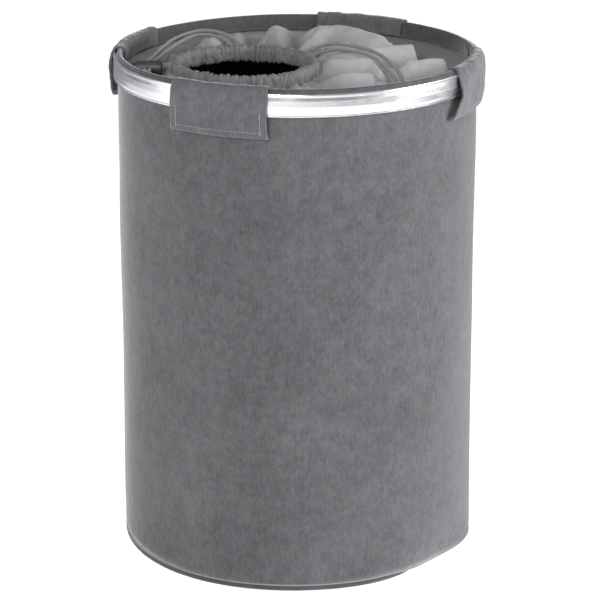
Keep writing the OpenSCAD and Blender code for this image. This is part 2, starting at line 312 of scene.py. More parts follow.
def satin_aluminium(name):
    """Extruded aluminium, satin polished: fine draw lines run round the hoop."""
    finish = Finish(name, Metallic=1.0)
    lines = finish.cloud(1.0, 3, finish.stretch(14, 14, 5200)).within(0.3, 0.7)
    smears = finish.cloud(40, 3, finish.stretch(1, 1, 3)).within(0.35, 0.7)
    shade = lines * 0.6 + smears * 0.4
    finish.set("Base Color", finish.mix(shade, (0.66, 0.67, 0.685), (0.8, 0.805, 0.815)))
    finish.set("Roughness", 0.2 + lines * 0.05 + smears * 0.08)
    finish.set("Normal", finish.bump(lines * 0.004, 0.5))
    return finish.material


def plain_steel(name):
    """Drawn steel wire and strip."""
    finish = Finish(name, Metallic=1.0)
    scratches = finish.cloud(800, 3, finish.stretch(1, 1, 0.15)).within(0.3, 0.7)
    finish.set("Base Color", finish.mix(scratches, (0.45, 0.45, 0.46), (0.62, 0.62, 0.63)))
    finish.set("Roughness", 0.28 + scratches * 0.15)
    finish.set("Normal", finish.bump(scratches * 0.01, 0.5))
    return finish.material


def moulded_plastic(name, grey):
    """Fine spark-eroded moulded plastic."""
    finish = Finish(name, Specular_IOR_Level=0.45)
    grain = finish.cloud(2600, 2).within(0.3, 0.7)
    wear = finish.cloud(160, 3).within(0.4, 0.8)
    finish.set("Base Color", finish.mix(wear, (grey, grey, grey * 1.05), [grey * 1.5] * 3))
    finish.set("Roughness", 0.42 + grain * 0.1)
    finish.set("Normal", finish.bump(grain * 0.03, 0.6))
    return finish.material


def braid(name, dark, light, diameter):
    """Round braided cord: two sets of strands that cross as they go round it."""
    finish = Finish(name, Roughness=0.7, Specular_IOR_Level=0.25, Sheen_Weight=0.25)
    lay = finish.add("ShaderNodeAttribute", {"attribute_name": "lay"}, {}, "Vector")
    x, y, along = finish.parts(lay)
    turn = y.calc("ARCTAN2", y, x)
    rise = along * (2 * math.pi / (1.6 * diameter))
    left = (turn * 4 + rise).sine()
    right = (turn * 4 - rise).sine()
    strands = left * right * 0.5 + 0.5
    fuzz = finish.cloud(1800, 2).within(0.3, 0.7)
    finish.set("Base Color", finish.mix(strands * 0.7 + fuzz * 0.3, dark, light))
    finish.set("Normal", finish.bump(strands * 0.35 + fuzz * 0.05, 0.8))
    return finish.material


def spun_thread(name, dark, light):
    """Sewing thread and woven piping, with a fine twist."""
    finish = Finish(name, Roughness=0.75, Specular_IOR_Level=0.3, Sheen_Weight=0.2)
    twist = finish.cloud(2200, 2).within(0.3, 0.7)
    finish.set("Base Color", finish.mix(twist, dark, light))
    finish.set("Normal", finish.bump(twist * 0.08, 0.6))
    return finish.material


SLEEVE_CLOTH = corduroy("sleeve_corduroy", (0.04, 0.04, 0.043), (0.135, 0.135, 0.142))
LOOP_CLOTH = corduroy("loop_corduroy", (0.05, 0.05, 0.054), (0.155, 0.155, 0.163), 0.1)
BASE_CLOTH = corduroy("base_corduroy", (0.04, 0.04, 0.043), (0.09, 0.09, 0.095))
# The facing is the sleeve's own corduroy painted darker, as painted shade for the inside of the mouth.
SHADED_FACING_CLOTH = corduroy("facing_corduroy_shaded", (0.035, 0.035, 0.038), (0.1, 0.1, 0.106), 0.1)
# The lid's third colour is painted shade for the valleys of its folds and the gathers at the neck.
LID_CLOTH = plain_weave("lid_cloth", (0.32, 0.32, 0.326), (0.45, 0.45, 0.458), (0.19, 0.19, 0.196))
CASING_CLOTH = plain_weave("casing_cloth", (0.09, 0.09, 0.095), (0.2, 0.2, 0.208))
LINING_CLOTH = plain_weave("lining_cloth", (0.15, 0.15, 0.156), (0.21, 0.21, 0.22))
FELT = needle_felt("felt")
ALUMINIUM = satin_aluminium("aluminium")
STEEL = plain_steel("steel")
BOARD = moulded_plastic("board_plastic", 0.03)
STOP_PLASTIC = moulded_plastic("stop_plastic", 0.035)
BRAID = braid("cord_braid", (0.07, 0.07, 0.074), (0.34, 0.34, 0.35), CORD_D)
THREAD = spun_thread("thread", (0.24, 0.24, 0.25), (0.34, 0.34, 0.35))
DARK_THREAD = spun_thread("dark_thread", (0.1, 0.1, 0.105), (0.17, 0.17, 0.176))
PIPING = spun_thread("piping_weave", (0.17, 0.17, 0.176), (0.26, 0.26, 0.27))


# ---- making pieces ----
def polar(radius, degrees, height):
    """A point round the hamper's axis."""
    turn = math.radians(degrees)
    return Vector((radius * math.cos(turn), radius * math.sin(turn), height))


def back_drop(point, from_height=455 * MM):
    """How far the mouth's cloth sinks at a point: most at the back, none at the front."""
    back = 0.5 + 0.5 * point.y / max(math.hypot(point.x, point.y), MM)
    return BACK_DROP * back * smoothed((point.z - from_height) / (38 * MM))


def smoothed(share):
    """0 to 1 with level ends."""
    share = min(max(share, 0), 1)
    return share * share * (3 - 2 * share)


def wave(point, scale, seed=0):
    """Smooth noise from about -1 to 1, with scale in metres a blob."""
    return noise.noise(Vector(point) / scale + Vector((seed * 7.3, seed * 3.1, seed)))


def add_piece(name, bm, finish, body=None, faces_out=True):
    """Makes a mesh a smooth-shaded piece in the scene."""
    if faces_out:
        bmesh.ops.recalc_face_normals(bm, faces=bm.faces)
    mesh = bpy.data.meshes.new(name)
    bm.to_mesh(mesh)
    bm.free()
    mesh.shade_smooth()
    mesh.materials.append(finish)
    piece = bpy.data.objects.new(name, mesh)
    bpy.context.scene.collection.objects.link(piece)
    if body:
        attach(piece, body)
    return piece


def lathe(outline, steps, closed=False):
    """Spins (radius, height) points once round the hamper's axis."""
    bm = bmesh.new()
    verts = [bm.verts.new((radius, 0, height)) for radius, height in outline]
    pairs = list(zip(verts, verts[1:]))
    if closed:
        pairs.append((verts[-1], verts[0]))
    edges = [bm.edges.new(pair) for pair in pairs]
    bmesh.ops.spin(
        bm,
        geom=verts + edges,
        cent=(0, 0, 0),
        axis=(0, 0, 1),
        angle=2 * math.pi,
        steps=steps,
        use_merge=True,
    )
    bmesh.ops.remove_doubles(bm, verts=bm.verts, dist=0.01 * MM)
    return bm


def reshape(bm, place):
    """Moves every point to where the function says."""
    for vert in bm.verts:
        vert.co = place(vert.co)


def ring_piece(name, node, outline, steps, place, finish, body="base", closed=True):
    """A piece spun round the axis and then shaped, which stands for a CAD node."""
    bm = lathe(outline, steps, closed)
    reshape(bm, place)
    piece = add_piece(name, bm, finish, body)
    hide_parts(node)
    return piece


def wall_outline(first, second, levels):
    """An upright wall's section, up at one radius and down at the other."""
    return [(first, z) for z in levels] + [(second, z) for z in reversed(levels)]


def disc_outline(node, size):
    """A flat disc's section, from a CAD node's box: a pinhole, and rings about size apart."""
    low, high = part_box(node)
    radii = [0.5 * MM] + steps_between(12 * MM, high.x, size)
    return [(r, high.z) for r in radii] + [(r, low.z) for r in reversed(radii)]


def add_thickness(piece, thickness, offset=0):
    """Gives a sheet its thickness: half to each side, or all inwards with offset -1."""
    solid = piece.modifiers.new("thickness", "SOLIDIFY")
    solid.thickness = thickness
    solid.offset = offset


def steps_between(low, high, size):
    """Even levels from low to high, about size apart."""
    count = max(1, round((high - low) / size))
    return [low + (high - low) * i / count for i in range(count + 1)]


def flow(points, size):
    """A smooth curve through a route's points, with even steps of about size."""
    dense = []
    last = len(points) - 1
    fine = 24
    for i in range(last):
        a, b = Vector(points[max(i - 1, 0)]), Vector(points[i])
        c, d = Vector(points[i + 1]), Vector(points[min(i + 2, last)])
        for k in range(fine):
            t = k / fine
            bend = (3 * b - a - 3 * c + d) * t**3 + (2 * a - 5 * b + 4 * c - d) * t**2
            dense.append((2 * b + (c - a) * t + bend) / 2)
    dense.append(Vector(points[-1]))
    return even(dense, size)


def even(dense, size):
    """The same line with its points evenly apart."""
    far = [0.0]
    for a, b in zip(dense, dense[1:]):
        far.append(far[-1] + (b - a).length)
    made = []
    k = 0
    for want in steps_between(0, far[-1], size):
        while k < len(far) - 2 and far[k + 1] < want:
            k += 1
        made.append(dense[k].lerp(dense[k + 1], (want - far[k]) / (far[k + 1] - far[k])))
    return made


def tube(path, radius, sides=12):
    """Extrudes a ring along a path, with the attribute lay for its braid."""
    bm = bmesh.new()
    lay = bm.verts.layers.float_vector.new("lay")
    ring = bmesh.ops.create_circle(bm, cap_ends=True, segments=sides, radius=radius)["verts"]
    edges = list({edge for vert in ring for edge in vert.link_edges})
    side = (path[1] - path[0]).orthogonal().normalized()
    along = 0.0
    for i, point in enumerate(path):
        heading = (path[min(i + 1, len(path) - 1)] - path[max(i - 1, 0)]).normalized()
        side = (side - heading * side.dot(heading)).normalized()
        other = heading.cross(side)
        if i:
            along += (point - path[i - 1]).length
            made = bmesh.ops.extrude_edge_only(bm, edges=edges)["geom"]
            grown = [item for item in made if isinstance(item, bmesh.types.BMVert)]
            edges = [
                item
                for item in made
                if isinstance(item, bmesh.types.BMEdge) and all(v in grown for v in item.verts)
            ]
            ring = grown
        for k, vert in enumerate(ring):
            turn = 2 * math.pi * k / sides
            vert.co = point + radius * (math.cos(turn) * side + math.sin(turn) * other)
            vert[lay] = (math.cos(turn), math.sin(turn), along)
    bmesh.ops.edgeloop_fill(bm, edges=edges)
    return bm


def stitches(name, places, body, length=2.4 * MM, thick=0.38 * MM, finish=None):
    """Short threads at (point, heading, outward) places, as one piece."""
    bm = bmesh.new()
    for point, heading, outward in places:
        along = heading.normalized()
        out = (outward - along * outward.dot(along)).normalized()
        across = out.cross(along)
        turned = Matrix((along, across, out)).transposed().to_4x4()
        size = Matrix.Diagonal((length / 2, thick, thick * 0.8, 1))
        matrix = Matrix.Translation(point) @ turned @ size
        bmesh.ops.create_icosphere(bm, subdivisions=1, radius=1, matrix=matrix)
    return add_piece(name, bm, finish or THREAD, body)


# ---- free cords: routes of the four tails, from the casing to the knot ----
def from_top(points):
    """Millimetres from the top fold, in metres."""
    return [Vector((x, y, TOP / MM + z)) * MM for x, y, z in points]


ROUTES = {
    "right_outer": [
        (-4, -1, -10.5), (12, 7, -3), (32, 6, 3), (55, -8, 4), (76, -27, 2),
        (90, -45, -4), (98, -58, -13), (100.5, -68, -19.5), (100, -77, -22), (100, -86, -22),
        (100, -104, -22), (100, -122, -22),
    ],
    "right_inner": [
        (5, -8, -10.5), (20, -9, -3), (38, -15, 2), (58, -27, 2.5), (75, -41, -0.5),
        (86, -52, -8), (92.5, -61, -15.5), (95, -69, -20), (95, -77, -22), (95, -86, -22),
        (95, -104, -22), (95, -122, -22),
    ],
    "left_outer": [
        (-53, 16, -3.5), (-59, 31, 0), (-70, 48, 3), (-83, 61, 4), (-98, 65, 3.5),
        (-112, 58, 1.5), (-124, 43, -1), (-133, 24, -4.5), (-140, 5, -8), (-145, -10, -10),
        (-147, -22, -10), (-147, -36, -10), (-147, -50, -10), (-147, -62, -10),
    ],
    "left_inner": [
        (-64, 14.5, -3.5), (-68, 29, -0.5), (-77, 43, 1.5), (-88, 53, 2), (-100, 54, 1.5),
        (-110.5, 46, -0.5), (-119.5, 33, -3), (-128, 16, -6), (-135, -1, -9), (-140.5, -12, -10),
        (-142, -22, -10), (-142, -36, -10), (-142, -50, -10), (-142, -62, -10),
    ],
}
TAILS = {name: flow(from_top(points), 2.2 * MM) for name, points in ROUTES.items()}


def share_inwards(x, y):
    """How far in a point lies: 0 at the mouth and 1 at the neck, on rings that shift over."""
    low, high = 0.0, 1.0
    for _ in range(14):
        s = (low + high) / 2
        radius = FACING_R + (NECK_R - FACING_R) * s
        if math.hypot(x - NECK.x * s, y - NECK.y * s) < radius:
            low = s
        else:
            high = s
    return low


def neck_blend(piece):
    """Blends a piece from the rim to the neck: its outer part stays down on the rim.

    Beside the left cord stop, which is near the neck, it rises only further in.
    """
    stop_low, stop_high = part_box("stop_barrel_left")
    stop = (stop_low + stop_high) / 2
    neck_top = Vector((NECK.x, NECK.y, CASING_HIGH.z))
    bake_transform(piece, "rim", "neck", start=neck_top + Vector((0.1, 0, 0)), end=neck_top)
    weights = piece.data.attributes["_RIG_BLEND"].data
    for vert, weight in zip(piece.data.vertices, weights):
        away = math.hypot(vert.co.x - stop.x, vert.co.y - stop.y)
        beside = smoothed(1 - away / (70 * MM))
        start, end = 0.45 + 0.36 * beside, 0.95 + 0.04 * beside
        weight.value = smoothed((share_inwards(vert.co.x, vert.co.y) - start) / (end - start))


def path_length(path):
    """A line's length in metres."""
    return sum((b - a).length for a, b in zip(path, path[1:]))


def add_tail(name, path):
    """One free end of a drawcord."""
    tail = add_piece("cord_" + name, tube(path, CORD_D / 2), BRAID)
    neck_blend(tail)
    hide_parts("tail_" + name)
    return tail


def add_knot(side, outer, inner):
    """A hard overhand knot where the two ends of a pair are tied together."""
    middle = (outer[-1] + inner[-1]) / 2
    turns = []
    count, size = 72, 1.15
    for i in range(count):
        t = 2 * math.pi * (i + 2) / (count + 3)
        x = math.sin(t) + 2 * math.sin(2 * t)
        z = math.cos(t) - 2 * math.cos(2 * t)
        turns.append(middle + Vector((x * size, -4.6 - math.sin(3 * t) * 2.4, z * size)) * MM)
    knot = add_piece("knot_cord_" + side, tube(turns, CORD_D * 0.46, 10), BRAID)
    for k, lean in ((0, -1), (1, 1)):
        start = middle + Vector((lean * 1.6, -6, 0)) * MM
        stub = [start + Vector((lean * 0.25 * i, -1.1 * i, -0.12 * i)) * MM for i in range(7)]
        end = add_piece(f"knot_end_{side}_{k}", tube(stub, CORD_D * 0.45, 10), BRAID)
        end.parent = knot
    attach(knot, "rim")
    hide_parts("knot_" + side)
    return knot


def add_spring(side, mouth):
    """The wire spring behind a stop's button, coiled to fill the CAD node's box."""
    low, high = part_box("stop_spring_" + side)
    middle = (low + high) / 2
    wire = 0.8 * MM
    radius = (high.y - low.y - wire) / 2
    half = (high.x - low.x - wire) / 2 * mouth
    coils, points = 4, 24
    coil = []
    for i in range(coils * points + 1):
        turn = 2 * math.pi * i / points
        round_it = Vector((0, math.cos(turn), math.sin(turn))) * radius
        along = half * (2 * i / (coils * points) - 1)
        coil.append(middle + Vector((along, 0, 0)) + round_it)
    spring = add_piece("coil_" + side, tube(coil, wire / 2, 8), STEEL, "stop_" + side)
    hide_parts("stop_spring_" + side)
    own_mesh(spring)
    return spring


def add_cords():
    for side in ("right", "left"):
        outer, inner = TAILS[side + "_outer"], TAILS[side + "_inner"]
        tails = [add_tail(f"{side}_outer", outer), add_tail(f"{side}_inner", inner)]
        knot = add_knot(side, outer, inner)
        stop = [f"stop_barrel_{side}", f"stop_button_{side}"]
        stop.append(add_spring(side, 1 if side == "right" else -1))
        for tail, path, pieces in ((tails[0], outer, [knot, *stop]), (tails[1], inner, [])):
            round(path_length(path), 3)


add_cords()


# ---- sleeve ----
# How the foot stands out of round: (direction, half width in degrees, millimetres outwards)
FOOT_BULGES = ((-38, 17, -10.5), (-12, 12, 1.5), (-122, 30, 3.0))
OFF_FLOOR = 1.2 * MM


def foot_shape(point, tucked=False):
    """The soft foot: pinched in at the front right, where the wall droops over the base.

    What is tucked lies under the wall, further in where the wall droops.
    """
    turn = math.degrees(math.atan2(point.y, point.x))
    out = sum(mm * math.exp(-(((turn - at) / half) ** 2)) for at, half, mm in FOOT_BULGES)
    droop = smoothed((turn + 62) / 24) * (1 - smoothed((turn - 5) / 25))
    grow = out * math.exp(-((point.z / (24 * MM)) ** 1.5)) * MM
    drop = 7.8 * droop * math.exp(-point.z / (16 * MM)) * MM
    if tucked:
        grow -= 6 * droop**3 * MM
        drop = 0
    radius = math.hypot(point.x, point.y)
    outer = smoothed((radius - 0.6 * SLEEVE_R) / (0.4 * SLEEVE_R))
    scale = 1 + grow * outer / max(radius, MM)
    height = max(point.z - drop * outer, min(point.z, OFF_FLOOR))
    return Vector((point.x * scale, point.y * scale, height))


def wall_shift(point):
    """How far the soft wall stands out at a point: faint dents, and puckers over the seam."""
    turn = math.atan2(point.y, point.x)
    up = max(point.z - SLEEVE_LOW.z, 0)
    on_wall = Vector((SLEEVE_R * math.cos(turn), SLEEVE_R * math.sin(turn), point.z))
    dent = wave(on_wall, 0.13, 1) * 0.9 + wave(on_wall, 0.05, 2) * 0.35
    calm = smoothed(up / (30 * MM)) * smoothed((SLEEVE_HIGH.z - point.z) / (100 * MM))
    pucker = wave((math.cos(turn) * 0.3, math.sin(turn) * 0.3, 0), 0.012, 3)
    return (dent * calm + pucker * 0.5 * math.exp(-up / (9 * MM))) * MM


def sleeve_shape(point):
    """The soft wall and the felt in it."""
    turn = math.atan2(point.y, point.x)
    radius = math.hypot(point.x, point.y) + wall_shift(point)
    height = point.z - back_drop(point)
    return foot_shape(Vector((radius * math.cos(turn), radius * math.sin(turn), height)))


def lining_shape(point):
    """The lining, slack between the felt and the laundry."""
    radius = math.hypot(point.x, point.y)
    loose = (wave(point, 0.06, 5) - 0.75) * 0.9 + wave(point, 0.02, 6) * 0.3
    shift = wall_shift(point)
    if radius < LINING_R - 0.2 * MM:
        shift += loose * MM * smoothed((LINING_HIGH.z - point.z) / (30 * MM))
    scale = 1 + shift / radius
    height = point.z - back_drop(point)
    return foot_shape(Vector((point.x * scale, point.y * scale, height)), tucked=True)


def add_lining_seam():
    """The seam allowance down the back of the lining, and the overlock over its edge."""
    low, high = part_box("sleeve_seam")
    width, step = 10 * MM, 4 * MM
    depth = LINING_R - 2.6 * MM
    bm = bmesh.new()
    bmesh.ops.create_grid(bm, x_segments=8, y_segments=80, size=0.5)

    def seam_shape(point):
        x = point.x * width
        z = low.z + (point.y + 0.5) * (high.z - low.z)
        ripple = wave((x, 0, z), 0.014, 8) * 0.35 * MM
        return Vector((x, math.sqrt(depth**2 - x * x) + ripple, z))

    reshape(bm, seam_shape)
    seam = add_piece("lining_seam", bm, LINING_CLOTH, "base", faces_out=False)
    add_thickness(seam, 0.8 * MM)
    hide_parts("sleeve_seam")
    places = []
    for i, z in enumerate(steps_between(low.z + step, high.z - step, step)):
        lean = 0.9 if i % 2 else -0.9
        point = Vector((-1.5 * MM, depth - 0.7 * MM, z))
        places.append((point, Vector((lean, 0, 1)), Vector((0, -1, 0))))
    overlock = stitches("lining_seam_thread", places, "base", 4.2 * MM)
    return seam, overlock, high.z


def add_sleeve():
    """The corduroy wall, the felt inside it, the lining and its seam."""
    low, high = SLEEVE_LOW.z, SLEEVE_HIGH.z
    inner = SLEEVE_R - CORDUROY_T
    wall = wall_outline(SLEEVE_R, inner, steps_between(low, high, 6 * MM))
    wall[0] = (SLEEVE_R - 0.7 * MM, low)
    sleeve = ring_piece(
        "sleeve", "outer_sleeve", wall, 288, sleeve_shape, SLEEVE_CLOTH
    )
    felt_low, felt_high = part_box("stiffener_sleeve")
    levels = steps_between(felt_low.z, felt_high.z, 10 * MM)
    felt = wall_outline(inner - 0.05 * MM, LINING_R + 0.05 * MM, levels)
    stiffener = ring_piece(
        "felt_stiffener", "stiffener_sleeve", felt, 144, sleeve_shape, FELT
    )
    levels = steps_between(LINING_LOW.z, LINING_HIGH.z, 8 * MM)
    cloth = wall_outline(LINING_R - 0.4 * MM, LINING_R, levels)
    lining = ring_piece(
        "lining", "lining_sleeve", cloth, 180, lining_shape, LINING_CLOTH
    )
    seam, overlock, seam_top = add_lining_seam()

    walls = (sleeve, stiffener, lining)
    for pieces, top in ((walls, high), ((seam, overlock), seam_top)):
        keep = 1 - COLLAPSE / (top - low)
        for piece in pieces:
            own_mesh(piece)


add_sleeve()


# ---- base ----
def edge_shape(point):
    """The base's cover, a little rough round its edge."""
    radius = math.hypot(point.x, point.y)
    if radius < 0.5 * SLEEVE_R:
        return point
    rough = wave(point, 0.012, 11) * 0.35 * MM * smoothed((radius - 170 * MM) / (4 * MM))
    scale = 1 + rough / radius
    return foot_shape(Vector((point.x * scale, point.y * scale, point.z)), tucked=True)


def floor_shape(point):
    """The cloth over the board, with faint wrinkles on top."""
    low, high = FLOOR_CLOTH
    lift = max(0, wave(point, 0.05, 13)) * 1.1 + max(0, wave(point, 0.018, 14)) * 0.3
    if point.z < (low.z + high.z) / 2:
        lift = 0
    return foot_shape(point + Vector((0, 0, lift * MM)), tucked=True)


def add_base():
    """The covered underside, its piping, the board and the cloth over it."""
    edge_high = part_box("base_cover")[1].z
    outline = [(0, 0)]
    outline += [(r, 0) for r in steps_between(20 * MM, SLEEVE_R - 5 * MM, 14 * MM)]
    outline += [
        (SLEEVE_R - 2.2 * MM, 0.25 * MM),
        (SLEEVE_R - 0.9 * MM, 0.9 * MM),
        (SLEEVE_R - 0.3 * MM, 2 * MM),
        (SLEEVE_R - 0.1 * MM, 3.4 * MM),
        (SLEEVE_R - 0.3 * MM, 4.7 * MM),
        (SLEEVE_R - 0.9 * MM, edge_high),
        (SLEEVE_R - 1.6 * MM, edge_high),
        (SLEEVE_R - 1.7 * MM, 1.5 * MM),
        (0, 1.2 * MM),
    ]
    cover = ring_piece(
        "base_cloth", "base_cover", outline, 216, edge_shape, BASE_CLOTH, closed=False
    )

    middle = (PIPING_LOW.z + PIPING_HIGH.z) / 2
    half = (PIPING_HIGH.z - PIPING_LOW.z) / 2
    ring = [
        (SLEEVE_R - half + half * math.cos(a), middle + half * math.sin(a))
        for a in (math.pi * i / 5 for i in range(10))
    ]
    ring_piece("bottom_piping", "base_piping", ring, 288, foot_shape, PIPING)

    outline = disc_outline("base_lining", 8 * MM)
    floor_cloth = ring_piece(
        "base_lining_cloth", "base_lining", outline, 120, floor_shape, LINING_CLOTH
    )

    def board_shape(point):
        return foot_shape(point, tucked=True)

    outline = disc_outline("base_board", 16 * MM)
    ring_piece("stiff_board", "base_board", outline, 120, board_shape, BOARD)


add_base()


# ---- mouth: facing folded over the top ----
def facing_shape(point):
    """The facing's soft inside, which lies a little off the lining."""
    radius = math.hypot(point.x, point.y)
    soft = wave(point, 0.045, 21) * 0.5 + wave(point, 0.012, 22) * 0.25
    inner = smoothed((SLEEVE_R - 2 * MM - radius) / (2 * MM))
    drop = smoothed((TOP - point.z) / (4 * MM))
    scale = 1 + (soft - 0.45) * drop * inner * MM / radius
    lift = wave(point, 0.07, 23) * 0.5 * MM * (1 - drop) - back_drop(point)
    return Vector((point.x * scale, point.y * scale, point.z + lift))


def add_facing():
    """The corduroy turned over the top edge and down inside, with its sewn lower edge."""
    inside = FACING_R - 1.5 * MM
    outline = [
        (SLEEVE_R + 0.1 * MM, TOP - 1.4 * MM),
        (SLEEVE_R + 0.25 * MM, TOP - 0.6 * MM),
        (SLEEVE_R - 0.4 * MM, TOP + 0.1 * MM),
        (SLEEVE_R - 1.9 * MM, TOP + 0.4 * MM),
        (inside + 1.9 * MM, TOP + 0.3 * MM),
        (inside + 0.6 * MM, TOP - 0.3 * MM),
        (inside + 0.1 * MM, TOP - 1.8 * MM),
    ]
    outline += [(inside, z) for z in steps_between(TOP - 4 * MM, SEWN + 3.4 * MM, 2 * MM)]
    outline += [
        (inside + 0.35 * MM, SEWN + 2.6 * MM),
        (inside + 0.1 * MM, SEWN + 1.5 * MM),
        (inside + 0.3 * MM, SEWN + 0.2 * MM),
        (FACING_R, SEWN),
        (FACING_R, TOP - 1.4 * MM),
    ]
    # Painted shade: the facing uses a darker copy of the sleeve's corduroy.
    facing = ring_piece(
        "facing", "mouth_facing", outline, 288, facing_shape, SHADED_FACING_CLOTH, "rim"
    )

    count = 330
    places = []
    for i in range(count):
        at = 360 * i / count
        point = polar(inside - 0.35 * MM, at, SEWN + 2.7 * MM)
        point.z -= back_drop(point)
        places.append((point, polar(1, at + 90, 0), polar(-1, at, 0)))
    stitches("facing_thread", places, "rim", finish=DARK_THREAD)


add_facing()


# ---- loops that hold the hoop ----
def loop_outline():
    """A loop's middle line as (radius, height), from its foot up, over and down inside."""
    foot = HOOP_LOW.z - 20.4 * MM
    out = HOOP_R + 1.7 * MM
    return [
        (SLEEVE_R + 1.0 * MM, foot + 0.6 * MM),
        (SLEEVE_R + 3.6 * MM, foot),
        (out - 0.6 * MM, foot + 1.6 * MM),
        (out + 0.4 * MM, foot + 7 * MM),
        (out + 0.8 * MM, HOOP_LOW.z - 3 * MM),
        (out + 1.0 * MM, HOOP_LOW.z + 6 * MM),
        (out + 1.0 * MM, HOOP_LOW.z + 14 * MM),
        (out + 0.2 * MM, HOOP_HIGH.z - 1.5 * MM),
        (out - 2.8 * MM, TOP + 1.0 * MM),
        (SLEEVE_R - 1.5 * MM, TOP + 1.9 * MM),
        (FACING_R - 2.0 * MM, TOP + 0.6 * MM),
        (FACING_R - 3.0 * MM, TOP - 2.5 * MM),
        (FACING_R - 2.9 * MM, TOP - 8 * MM),
        (FACING_R - 2.7 * MM, TOP - 15 * MM),
    ]


LOOP_LINE = flow([(r, 0, z) for r, z in loop_outline()], 1.4 * MM)

# How each loop lies, in millimetres: how far its edges stand off the hoop (low_edge on its
# clockwise side), skew and tip sideways, gather and fine for its wrinkles, pinch as a share
# of its width at the hoop, and how far the wrinkles lean
LOOP_SLACK = {
    "front": {"seed": 1, "low_edge": 0.8, "high_edge": 0.6, "pinch": 0.02, "skew": 1.0,
              "gather": 0.4, "lean": 1.0, "fine": 0.4, "tip": 0},
    "right": {"seed": 2, "low_edge": 2.2, "high_edge": 1.0, "pinch": 0.08, "skew": 10.0,
              "gather": 0.9, "lean": 4.5, "fine": 0.6, "tip": 6},
    "back": {"seed": 3, "low_edge": 1.0, "high_edge": 0.8, "pinch": 0.06, "skew": 2.0,
             "gather": 0.5, "lean": -1.0, "fine": 0.4, "tip": 0},
    "left": {"seed": 4, "low_edge": 1.0, "high_edge": 1.6, "pinch": 0.1, "skew": -5.0,
             "gather": 0.8, "lean": -3.5, "fine": 1.0, "tip": 0},
}


def loop_place(name, u, v):
    """A point of a loop: u from -1 to 1 across it, v from 0 at its foot to 1 inside."""
    settled = LOOP_SLACK[name]
    last = len(LOOP_LINE) - 1
    row = min(int(v * last), last - 1)
    at = LOOP_LINE[row].lerp(LOOP_LINE[row + 1], v * last - row)
    heading = (LOOP_LINE[row + 1] - LOOP_LINE[row]).normalized()
    out = Vector((heading.z, 0, -heading.x))
    seed = 30 + settled["seed"]
    edge = settled["low_edge"] if u < 0 else settled["high_edge"]
    free = smoothed(v / 0.12) * smoothed((1 - v) / 0.14)
    spread = (abs(u) ** 3) * edge * math.sin(math.pi * min(v / 0.62, 1)) ** 1.2
    bent = u * 0.05 + v * 0.012 * settled["lean"]
    gathers = wave((bent + seed, v * 0.03, 0), 0.0075, seed) * settled["gather"]
    creases = wave((u * 0.05, v * 0.09, seed), 0.017, seed + 2) * 1.5
    fine = wave((bent, v * 0.05, seed), 0.0042, seed + 4) * settled["fine"]
    soft = gathers * (0.5 + 0.5 * abs(u)) + creases * 0.8 + fine
    lift = (spread + max(soft, -0.55) * free * 0.9) * MM
    narrow = 1 - settled["pinch"] * math.exp(-(((v - 0.36) / 0.16) ** 2))
    skew = settled["skew"] * (v - 0.45)
    if u < 0:
        skew += settled["tip"] * u * math.exp(-((v / 0.2) ** 2))
    across = u * narrow * LOOP_W / 2 + skew * MM + wave((u, v * 2, seed), 0.4, seed) * 0.7 * MM
    around = LOOPS[name] + math.degrees(across / SLEEVE_R)
    spot = at + out * lift
    placed = polar(spot.x, around, spot.z)
    placed.z -= back_drop(placed)
    return placed


def add_loop(name):
    """A strip of doubled corduroy, wrinkled where it wraps the hoop, with sewn edges."""
    bm = bmesh.new()
    bmesh.ops.create_grid(bm, x_segments=84, y_segments=72, size=1)
    reshape(bm, lambda point: loop_place(name, point.x, (point.y + 1) / 2))
    loop = add_piece("loop_cloth_" + name, bm, LOOP_CLOTH, "rim", faces_out=False)
    add_thickness(loop, 1.7 * MM)
    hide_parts("loop_" + name)
    places = []
    for u, v, du, dv in loop_stitch_spots():
        point = loop_place(name, u, v)
        beside = loop_place(name, u + du, v + dv)
        over = loop_place(name, u, v + 0.01) - loop_place(name, u, v - 0.01)
        side = loop_place(name, u + 0.01, v) - loop_place(name, u - 0.01, v)
        out = side.cross(over).normalized()
        if out.dot(polar(1, LOOPS[name], 0)) < 0:
            out = -out
        places.append((point + out * 0.95 * MM, beside - point, out))
    stitches("loop_thread_" + name, places, "rim")


def loop_stitch_spots():
    """Where a loop's outer stitches lie: up both edges and along its foot."""
    spots = []
    margin, ahead = 0.87, 0.01
    up, across = 13, 27
    for i in range(up):
        v = 0.1 + 0.022 * i
        spots += [(-margin, v, 0, ahead), (margin, v, 0, ahead)]
    for i in range(across):
        spots.append((margin * (2 * (i + 0.5) / across - 1), 0.125, ahead, 0))
    return spots


for loop_name in LOOPS:
    add_loop(loop_name)


